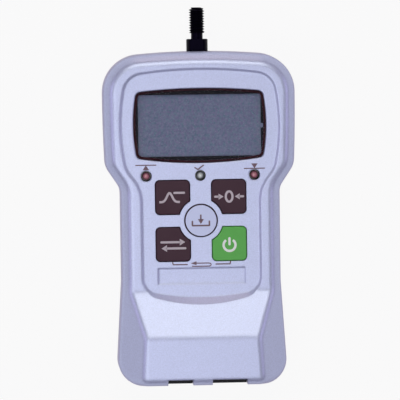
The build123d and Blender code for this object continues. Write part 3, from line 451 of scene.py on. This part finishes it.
# %% Grid helper
def surface(name, grids, body, finish, round_rows=False, caps=False, smooth=30):
    """A mesh from grids of shape (rows, columns, 3) in millimetres, whose columns close into a ring.

    round_rows also closes the rows into a ring. caps fills the first and last row with a face.
    """
    points, quads, ends, first = [], [], [], 0
    for grid in grids:
        rows, columns = grid.shape[:2]
        i, j = np.meshgrid(np.arange(rows if round_rows else rows - 1), np.arange(columns), indexing="ij")
        after_i, after_j = (i + 1) % rows, (j + 1) % columns
        corners = [i * columns + j, after_i * columns + j, after_i * columns + after_j, i * columns + after_j]
        quads.append(first + np.stack(corners, axis=-1).reshape(-1, 4))
        points.append(grid.reshape(-1, 3) * MM)
        ring = np.arange(columns)
        ends += [(first + ring).tolist(), (first + (rows - 1) * columns + ring).tolist()] if caps else []
        first += rows * columns
    mesh = bpy.data.meshes.new(name)
    mesh.from_pydata(np.concatenate(points), [], np.concatenate(quads).tolist() + ends)
    clean_up(mesh, smooth)
    piece = bpy.data.objects.new(name, mesh)
    bpy.context.scene.collection.objects.link(piece)
    wear(piece, finish)
    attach(piece, body)
    print(name, "faces:", len(mesh.polygons))
    return piece


def clean_up(mesh, smooth):
    """Merges points that fall together, turns the faces outwards and shades them smooth up to an angle."""
    work = bmesh.new()
    work.from_mesh(mesh)
    bmesh.ops.remove_doubles(work, verts=work.verts, dist=1e-6)
    bmesh.ops.recalc_face_normals(work, faces=work.faces)
    work.to_mesh(mesh)
    work.free()
    mesh.shade_smooth()
    mesh.set_sharp_from_angle(angle=np.radians(smooth))


def densify(corners, step):
    """Points along a profile of straight runs, no further apart than step, keeping its corners."""
    corners = np.array(corners, float)
    runs = [np.linspace(a, b, max(2, 1 + int(np.ceil(np.linalg.norm(b - a) / step))))
            for a, b in zip(corners, corners[1:])]
    return np.concatenate([run[:-1] for run in runs] + [corners[-1:]])


print("a run of 3 mm in steps of 1 mm has", len(densify([(0, 0), (3, 0)], 1.0)), "points")

# %% [markdown]
# ## Measuring shaft
# The shaft is turned: its radius is a function of the place along the axis, written as a profile of
# straight runs. Two things break the roundness. A spanner flat limits the height above the axis, so there the
# radius is at most flat / |sin angle|. A thread is a groove that climbs one pitch in each turn, so its depth
# is a wave in (place / pitch - turns). Both are computed on the same grid, so the shaft is one surface.

# %% Measuring shaft
screw_radius, screw_pitch, groove_depth = 3.0, 1.0, 0.60
flatted_radius, half_flats = 4.2, 3.25
stop_collar_radius = 5.0  # two collars, one on each side of the overload stop
relief_radius = 2.3
flats_start, flats_end, thread_start, tip = 63.5, 69.2, 71.5, 81.5


def ring_about(count):
    """Angles all round an axis, without the last one that would repeat the first."""
    return np.linspace(0, 2 * np.pi, count, endpoint=False)


def thread_wave(along, angle, pitch):
    """0 on the crests and 1 at the roots of a right-hand thread, a wave with flattened tops."""
    phase = (along / pitch - angle / (2 * np.pi)) % 1
    return np.clip(1.25 * (1 - np.abs(2 * phase - 1)) - 0.12, 0, 1)


def stop_collar(start):
    """The profile of one stop collar from its start, 2.5 mm thick with 0.2 mm chamfers."""
    return [(start, stop_collar_radius - 0.2), (start + 0.2, stop_collar_radius),
            (start + 2.3, stop_collar_radius), (start + 2.5, stop_collar_radius - 0.2)]


def turned_shaft():
    """radius(y, angle) = profile(y), at most half_flats / |sin angle| on the flats, less the groove."""
    stub = [(37.3, 0.0), (37.3, 2.6), (37.7, screw_radius), (50.05, screw_radius), *stop_collar(50.05),
            (52.55, screw_radius), (56.45, screw_radius), *stop_collar(56.45), (58.95, flatted_radius),
            (flats_start - 0.01, flatted_radius), (flats_start, flatted_radius),
            (flats_end - 0.3, flatted_radius), (flats_end, flatted_radius - 0.3),
            (flats_end, relief_radius), (thread_start, relief_radius), (thread_start, screw_radius)]
    screw = [(thread_start, screw_radius), (tip - 0.8, screw_radius), (tip, screw_radius - 0.8), (tip, 0.0)]
    profile = np.concatenate([densify(stub, 1.0), densify(screw, 0.05)])
    angle = ring_about(96)
    along, radius = profile[:, :1], profile[:, 1:]
    on_flats = (along > flats_start - 0.005) & (along <= flats_end) & (radius > half_flats)
    flat = half_flats / np.maximum(np.abs(np.sin(angle)), 0.1)
    radius = np.where(on_flats, np.minimum(radius, flat), radius + 0 * angle)
    fade = np.clip((along - thread_start) / 0.5, 0, 1) * np.clip((radius - 0.6) / 1.4, 0, 1)
    wave = thread_wave(along, angle, screw_pitch)
    radius = radius - np.where(along > thread_start, groove_depth * wave * fade, 0.0)
    height = parting_height + radius * np.sin(angle)
    return np.stack([radius * np.cos(angle), along + 0 * angle, height], axis=-1)


shaft = surface("threaded_shaft", [turned_shaft()], "shaft", oxide, smooth=40)
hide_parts("measuring_shaft")

# %% [markdown]
# ## Mounting bushes
# Four brass bushes reach the rear face. Each is a ring with an M4 thread in it, so its section is a closed
# loop: out along the lower end, up the outside, in along the top, and down the threaded bore.

# %% Mounting bushes
bush_radius, bush_height = 4.0, 7.0
bore_radius, bore_pitch, bore_groove = 2.0, 0.7, 0.28
lead_in = 0.3
hole_spacing_x, hole_spacing_y = 36, 60


def bush(x, y):
    """A section loop (radius, height) carried round the axis, with a groove wave in the bore."""
    mouth = bore_radius + lead_in
    outside = densify([(mouth, 0.0), (bush_radius - lead_in, 0.0), (bush_radius, lead_in),
                       (bush_radius, bush_height - 0.2), (bush_radius - 0.2, bush_height),
                       (mouth, bush_height)], 2.0)
    bore = densify([(mouth, bush_height), (bore_radius, bush_height - lead_in), (bore_radius, lead_in),
                    (mouth, 0.0)], 0.07)[1:-1]
    angle = ring_about(64)
    loop = np.concatenate([outside, bore])
    radius, height = loop[:, :1], loop[:, 1:]
    threaded = np.concatenate([np.zeros(len(outside)), np.ones(len(bore))])[:, None]
    radius = radius - bore_groove * threaded * thread_wave(height, angle, bore_pitch)
    return np.stack([x + radius * np.cos(angle), y + radius * np.sin(angle), height + 0 * angle], axis=-1)


bush_places = [(side_x * hole_spacing_x / 2, side_y * hole_spacing_y / 2)
               for side_x in (-1, 1) for side_y in (-1, 1)]
bushes = surface("threaded_bushes", [bush(x, y) for x, y in bush_places], "case", brass,
                 round_rows=True)
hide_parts("mounting_bushes")

# %% [markdown]
# ## Case screws
# The four screws that hold the shells together sit deep in the rear. Their pan heads have a cross recess.
# The head is a polar grid: each point's place in height is a dome and a pit, and the pit is deep where the
# point lies in either arm of a cross.

# %% Case screws
head_radius, head_bottom, head_top = 2.75, 6.0, 8.0
shank_radius, shank_end = 1.45, 25.0
dome_rise, pit_depth, cross_turn = 0.55, 1.1, 0.6


def pan_head(x, y):
    """height(radius, angle) = dome x (radius / head radius)^4 + pit depth x (inside an arm of the cross).

    The heads look down, because the gauge lies on its back, so the pit goes up from the head's lowest
    place. Past the head's edge come its other face and the shank.
    """
    half_width, half_length = 0.48, 1.6
    angle = ring_about(96)
    face = np.linspace(0, head_radius, 45)[:, None] + 0 * angle
    u, v = np.abs(face * np.cos(angle + cross_turn)), np.abs(face * np.sin(angle + cross_turn))
    across = np.clip((half_width - np.minimum(u, v)) / 0.14, 0, 1)
    along = np.clip((half_length - np.maximum(u, v)) / 0.35, 0, 1)
    height = head_bottom + dome_rise * (face / head_radius) ** 4 + pit_depth * across * along
    side = densify([(head_radius, head_top), (shank_radius, head_top), (shank_radius, shank_end - 0.8),
                    (0.6, shank_end), (0.0, shank_end)], 4.0)
    radius = np.concatenate([face, side[:, :1] + 0 * angle])
    height = np.concatenate([height, side[:, 1:] + 0 * angle])
    return np.stack([x + radius * np.cos(angle), y + radius * np.sin(angle), height], axis=-1)


screw_places = [(-30, 55), (30, 55), (-27, -57.5), (27, -57.5)]
screws = surface("cross_head_screws", [pan_head(x, y) for x, y in screw_places], "case", zinc)
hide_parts("case_screws")

# %% [markdown]
# ## Printed signs
# Each key and each lamp has a plain sign, printed in a pale, white or brown ink. Every sign is made of
# strokes. A stroke is a ribbon of ink: a small rectangular section carried along a path, whose half width
# may change on the way, so the same function draws lines, arrow heads and triangles.

# %% Stroke helper
ink_height, ink_root = 0.03, 0.02
least_half_width = 0.01


def stroke(path, half_width, top):
    """Section corners at path +- half_width x normal, from just below the surface to the ink's height."""
    path = np.array(path, float)
    run = np.gradient(path, axis=0)
    run /= np.linalg.norm(run, axis=1, keepdims=True)
    side = np.column_stack([-run[:, 1], run[:, 0]]) * np.broadcast_to(half_width, len(path))[:, None]
    low, high = np.full((len(path), 1), top - ink_root), np.full((len(path), 1), top + ink_height)
    section = [np.hstack([path - side, low]), np.hstack([path - side, high]),
               np.hstack([path + side, high]), np.hstack([path + side, low])]
    return np.stack(section, axis=1)


def line(points, width, top):
    """A stroke of even width along straight runs; at each end a quarter wave rounds it."""
    path = densify(points, 0.12)
    first, last = path[0] - path[1], path[-1] - path[-2]
    quarter = np.linspace(0, np.pi / 2, 6)[1:]
    reach = width / 2 * np.sin(quarter)[:, None]
    path = np.concatenate([path[0] + (reach * first / np.linalg.norm(first))[::-1], path,
                           path[-1] + reach * last / np.linalg.norm(last)])
    cap = width / 2 * np.cos(quarter)
    half = np.concatenate([cap[::-1], np.full(len(path) - 2 * len(cap), width / 2), cap])
    return stroke(path, np.maximum(half, least_half_width), top)


def arc(centre, radius, start, end, width, top):
    """A stroke along a circle from one angle to another, in degrees; radius may be a pair for an ellipse."""
    angle = np.radians(np.linspace(start, end, 48))
    reach = np.broadcast_to(radius, 2)
    path = np.column_stack([centre[0] + reach[0] * np.cos(angle), centre[1] + reach[1] * np.sin(angle)])
    return stroke(path, width / 2, top)


def taper(tail, tip, half_width, top):
    """A triangle: a straight stroke whose half width falls to nothing at the tip."""
    path = np.linspace(tail, tip, 8)
    return stroke(path, np.linspace(half_width, least_half_width, 8), top)


def arrow(tail, tip, width, head, top):
    """A line with a triangular head."""
    tail, tip = np.array(tail, float), np.array(tip, float)
    neck = tip + (tail - tip) / np.linalg.norm(tail - tip) * head
    return [line([tail, neck], width, top), taper(neck, tip, head * 0.62, top)]


def moved(strokes, x, y):
    """Strokes drawn about the origin, carried to their place on the panel."""
    return [made + np.array([x, y, 0.0]) for made in strokes]


print("an arrow is made of", len(arrow((0, 0), (3, 0), 0.5, 1.0, 0.0)), "strokes")

# %% [markdown]
# ## Signs on the keys
# Each key says what it does: a curve with its summit held, two arrows that meet at nought, two opposite
# arrows for changing units, the standby ring, and an arrow into a tray for storing a reading. The ink lies
# just above the key's face and rides on the key, so it goes down with it.

# %% Signs on the keys
key_top, panel_top = 31.2, 30.7
ink_pale = moulded("pale_ink", rgb(190, 180, 188), 0.5, 0.12, 0.004)
ink_white = moulded("white_ink", rgb(236, 240, 236), 0.5, 0.12, 0.004)
ink_brown = moulded("brown_ink", rgb(112, 86, 98), 0.5, 0.12, 0.004)
bold, bolder, thin = 0.85, 0.95, 0.62


def peak_sign(top):
    """A bell curve, y = height x exp(-(x / spread) squared), with a bar at its summit."""
    x = np.linspace(-4.9, 3.1, 70)
    bell = np.column_stack([x, -1.8 + 3.5 * np.exp(-((x + 0.9) / 1.45) ** 2)])
    return [stroke(bell, bold / 2, top), line([(1.0, 1.75), (4.7, 1.75)], bold, top)]


def zero_sign(top):
    """The figure nought with an arrow from each side."""
    ring = arc((0, 0), (1.3, 2.0), 0, 360, bold, top)
    return [ring, *arrow((-5.4, 0), (-2.2, 0), bold, 1.9, top), *arrow((5.4, 0), (2.2, 0), bold, 1.9, top)]


def unit_sign(top):
    """Two arrows, one above the other, pointing opposite ways."""
    return arrow((-4.6, 1.2), (4.6, 1.2), bold, 2.1, top) + arrow((4.6, -1.2), (-4.6, -1.2), bold, 2.1, top)


def power_sign(top):
    """A ring open at the top, with an upright line in the gap."""
    return [arc((0, -0.2), 2.3, 125, 415, bolder, top), line([(0, 0.1), (0, 2.4)], bolder, top)]


def store_sign(top):
    """An arrow down into a tray."""
    tray = [(-3.3, -0.3), (-3.3, -1.9), (3.3, -1.9), (3.3, -0.3)]
    return [line(tray, thin, top), *arrow((0, 2.1), (0, -1.3), thin, 1.9, top)]


signs = {
    "key_peak": (peak_sign, (-11.2, 8.1), ink_pale, "key_dark"),
    "key_zero": (zero_sign, (11.0, 8.1), ink_pale, "key_dark"),
    "key_unit": (unit_sign, (-10.9, -10.5), ink_pale, "key_dark"),
    "key_power": (power_sign, (10.9, -10.55), ink_white, "key_green"),
    "key_memory": (store_sign, (-0.1, -1.1), ink_brown, "key_light"),
}
for key, (draw, place, ink, slot) in signs.items():
    surface(key + "_sign", moved(draw(key_top), *place), key, ink, caps=True)

# %% [markdown]
# ## Signs on the panel
# Each outer lamp lights at a limit: a triangle that touches a line, above for the upper limit and below for
# the lower one, with a tick for the middle lamp. A bracket joins the two lower keys, with an arrow in its gap
# that turns back: pressed together they turn the display's reading round.

# %% Signs on the panel
fine = 0.42


def limit_sign(x, y, way):
    """A line at the limit and a triangle that points to it; way is 1 for up and -1 for down."""
    height, half_length = 1.9, 3.9
    tip = y + way * height / 2
    return [taper((x, tip - way * height), (x, tip), 1.25, panel_top),
            line([(x - half_length, tip), (x + half_length, tip)], fine, panel_top)]


def panel_signs():
    """All the strokes printed on the panel itself: limits, tick, bracket, and the arrow that turns back."""
    made = limit_sign(-21.1, 19.75, 1) + limit_sign(21.0, 19.8, -1)
    made += [line([(-2.1, 19.5), (-1.0, 18.75), (1.2, 20.35)], 0.5, panel_top)]
    for side in (-1, 1):
        made += [line([(side * 11.2, -17.15), (side * 11.2, -17.75), (side * 10.9, -18.1),
                       (side * 5.6, -18.1)], 0.48, panel_top)]
    neck = (-2.0, -17.65)
    made += [line([(-3.6, -18.85), (2.9, -18.85), (3.5, -18.65), (3.7, -18.25), (3.5, -17.85),
                   (2.9, -17.65), neck], fine, panel_top)]
    made += [taper(neck, (-4.2, -17.65), 0.75, panel_top)]
    return made


surface("panel_signs", panel_signs(), "case", ink_brown, caps=True)

# %% [markdown]
# ## Metal in the sockets
# The two sockets look out of the lower end. The round one has a steel centre pin, and the square one has
# four gilt contacts on its tongue. Both are small, but they are what tells a socket from a hole.

# %% Metal in the sockets
def rounded_rod(x, z, low, high, radius):
    """A round rod along Y with a shallow domed front end: radius(y) falls as a quarter ellipse."""
    angle = ring_about(32)
    dome = np.linspace(0, np.pi / 2, 10)
    dome_depth = 0.35
    along = np.concatenate([low + dome_depth * (1 - np.cos(dome)), [high, high]])[:, None]
    reach = np.concatenate([radius * np.sin(dome), [radius, 0.0]])[:, None]
    return np.stack([x + reach * np.cos(angle), along + 0 * angle, z + reach * np.sin(angle)], axis=-1)


def leaf(x, z, low, high, width, thickness):
    """A flat contact along Y, bent in at its front end: height = z - thickness x (1 - place / bend length)^2.

    A thickness above nought lies on top of z, and one below nought hangs under it.
    """
    bend_length = 1.2
    along = np.linspace(low, high, 16)
    base = z - thickness * (1 - np.clip((along - low) / bend_length, 0, 1)) ** 2
    corners = [(-width / 2, 0), (width / 2, 0), (width / 2, 1), (-width / 2, 1)]
    sections = [np.column_stack([np.full(16, x + across), along, base + up * thickness])
                for across, up in corners]
    return np.stack(sections, axis=1)


surface("power_pin", [rounded_rod(x=-8.9, z=25.3, low=-64.25, high=-54.8, radius=1.12)], "case", plated)
tongue_x, tongue_top, tongue_bottom = 10.25, 26.9, 23.7
leaves = [leaf(tongue_x + side * 1.25, z, low=-63.3, high=-55.4, width=0.9, thickness=thickness)
          for side in (-1, 1) for z, thickness in ((tongue_top, 0.12), (tongue_bottom, -0.12))]
surface("data_contacts", leaves, "case", gold, caps=True)

# %% [markdown]
# ## Display nick
# The display glass was filled through a small port at its right edge, and the frame leaves a nick there. A
# small lozenge of the display's grey stands for it, flush with the frame.

# %% Display nick
def lozenge(x, y, half_x, half_y, base, top):
    """A rounded block: a ring |u|^4 + |v|^4 = 1 at four heights, drawn in to a point at both ends."""
    angle = ring_about(40)
    cos, sin = np.cos(angle), np.sin(angle)
    reach = (np.abs(cos) ** 4 + np.abs(sin) ** 4) ** -0.25
    rows = [(0.0, base), (1.0, base), (1.0, top - 0.02), (0.85, top), (0.0, top)]
    return np.stack([np.column_stack([x + size * half_x * reach * cos, y + size * half_y * reach * sin,
                                      np.full(len(angle), z)]) for size, z in rows])


nick = lozenge(x=24.1, y=35.45, half_x=0.55, half_y=0.9, base=28.5, top=28.74)
surface("display_nick", [nick], "case", nodes["lcd_glass"].data.materials[0])

# %% [markdown]
# ## Table
# The table is white and keeps a faint shadow of the gauge. To the camera, and to rays that come off gloss or
# through the pane, most of its light is its own, so that it is nearly as white as the paper behind a
# catalogue photograph. The rest is diffuse, and that share is what the shadow darkens.

# %% Table
glow_share = 0.92
table_half = 4.0
table_drop = 0.05 * MM  # keeps the table clear of the rear face


def white_table():
    """Diffuse white, mixed with a plain glow of strength 1 for camera, gloss and transmission rays."""
    made = Finish("white_table", Roughness=0.9, Specular_IOR_Level=0.0)
    made.feed("Base Color", made.blend(made.noise(40, 2), rgb(186, 184, 188), rgb(194, 192, 196)))
    kinds = ("Is Camera Ray", "Is Glossy Ray", "Is Transmission Ray")
    seen = sum(made.node("LightPath", {}, {}, kind) for kind in kinds)
    glow = made.node("Emission", {}, {"Color": (1, 1, 1, 1), "Strength": 1.0})
    diffuse = Number(made, made.shader.outputs[0])
    mixed = made.node("MixShader", {}, {0: seen * glow_share, 1: diffuse, 2: glow})
    made.tree.links.new(mixed.socket, made.tree.nodes["Material Output"].inputs["Surface"])
    return made


corners = [(side_x * table_half, side_y * table_half, -table_drop)
           for side_x, side_y in ((-1, -1), (1, -1), (1, 1), (-1, 1))]
table_mesh = bpy.data.meshes.new("table")
table_mesh.from_pydata(corners, [], [(0, 1, 2, 3)])
table = bpy.data.objects.new("table", table_mesh)
bpy.context.scene.collection.objects.link(table)
wear(table, white_table())
print("table side in metres:", 2 * table_half)

# %% [markdown]
# ## Lamps and world
# Two large lamps above give the paint its soft light: the main one stands beyond the shaft, so that the ramp
# and the top rim are lightest. A violet lamp on each side fills the slanted sides, and a low warm one tints
# the upper end. The world is a dark studio with a white band just above the horizon, which goes on where the
# table ends. Its dark walls give metallic paint its shape, because a face that leans away mirrors them.

# %% Lamps and world
def lamp(name, place, size, watts, colour):
    """A square soft lamp that looks at the middle of the gauge."""
    made = bpy.data.objects.new(name, bpy.data.lights.new(name, "AREA"))
    made.data.size = size
    made.data.energy = watts
    made.data.color = colour
    away = np.array(place, float) / np.linalg.norm(place)
    across = np.cross([0.3, 1, 0.1], away)
    across /= np.linalg.norm(across)
    axes = np.column_stack([across, np.cross(away, across), away])
    made.matrix_world = Matrix.Translation(place) @ Matrix(axes.tolist()).to_4x4()
    bpy.context.scene.collection.objects.link(made)


lamp("main_lamp", (0.0, 0.88, 1.21), 0.8, 6.2, (1.0, 1.0, 0.86))
lamp("ceiling_lamp", (-0.35, -0.28, 1.58), 1.2, 8.9, (0.97, 0.98, 0.98))
lamp("left_lamp", (-1.25, 0.15, 0.95), 0.7, 2.3, (0.80, 0.68, 1.0))
lamp("right_lamp", (1.25, 0.15, 0.95), 0.7, 2.3, (0.80, 0.68, 1.0))
lamp("warm_lamp", (0.0, 1.5, 0.30), 0.5, 0.9, (1.0, 0.66, 0.48))

world = bpy.data.worlds.new("studio")
bpy.context.scene.world = world
world.use_nodes = True
tree = world.node_tree
way = tree.nodes.new("ShaderNodeTexCoord")
split = tree.nodes.new("ShaderNodeSeparateXYZ")
ramp = tree.nodes.new("ShaderNodeValToRGB")
horizon_white = (0.94, 0.94, 0.94)
stops = [(0.0, horizon_white), (0.10, horizon_white), (0.16, (0.10, 0.06, 0.13)),
         (0.5, (0.09, 0.06, 0.12)), (0.85, (0.12, 0.12, 0.13)), (1.0, (0.15, 0.15, 0.16))]
elements = ramp.color_ramp.elements
while len(elements) < len(stops):
    elements.new(0.5)
for element, (height, colour) in zip(elements, stops):
    element.position = height
    element.color = (*colour, 1)
tree.links.new(way.outputs["Generated"], split.inputs[0])
tree.links.new(split.outputs["Z"], ramp.inputs["Fac"])
tree.links.new(ramp.outputs["Color"], tree.nodes["Background"].inputs["Color"])

bpy.context.scene.view_settings.view_transform = "Standard"
lamps = [made.name for made in bpy.data.objects if made.type == "LIGHT"]
print("lamps:", lamps, "stops in the world:", len(elements))
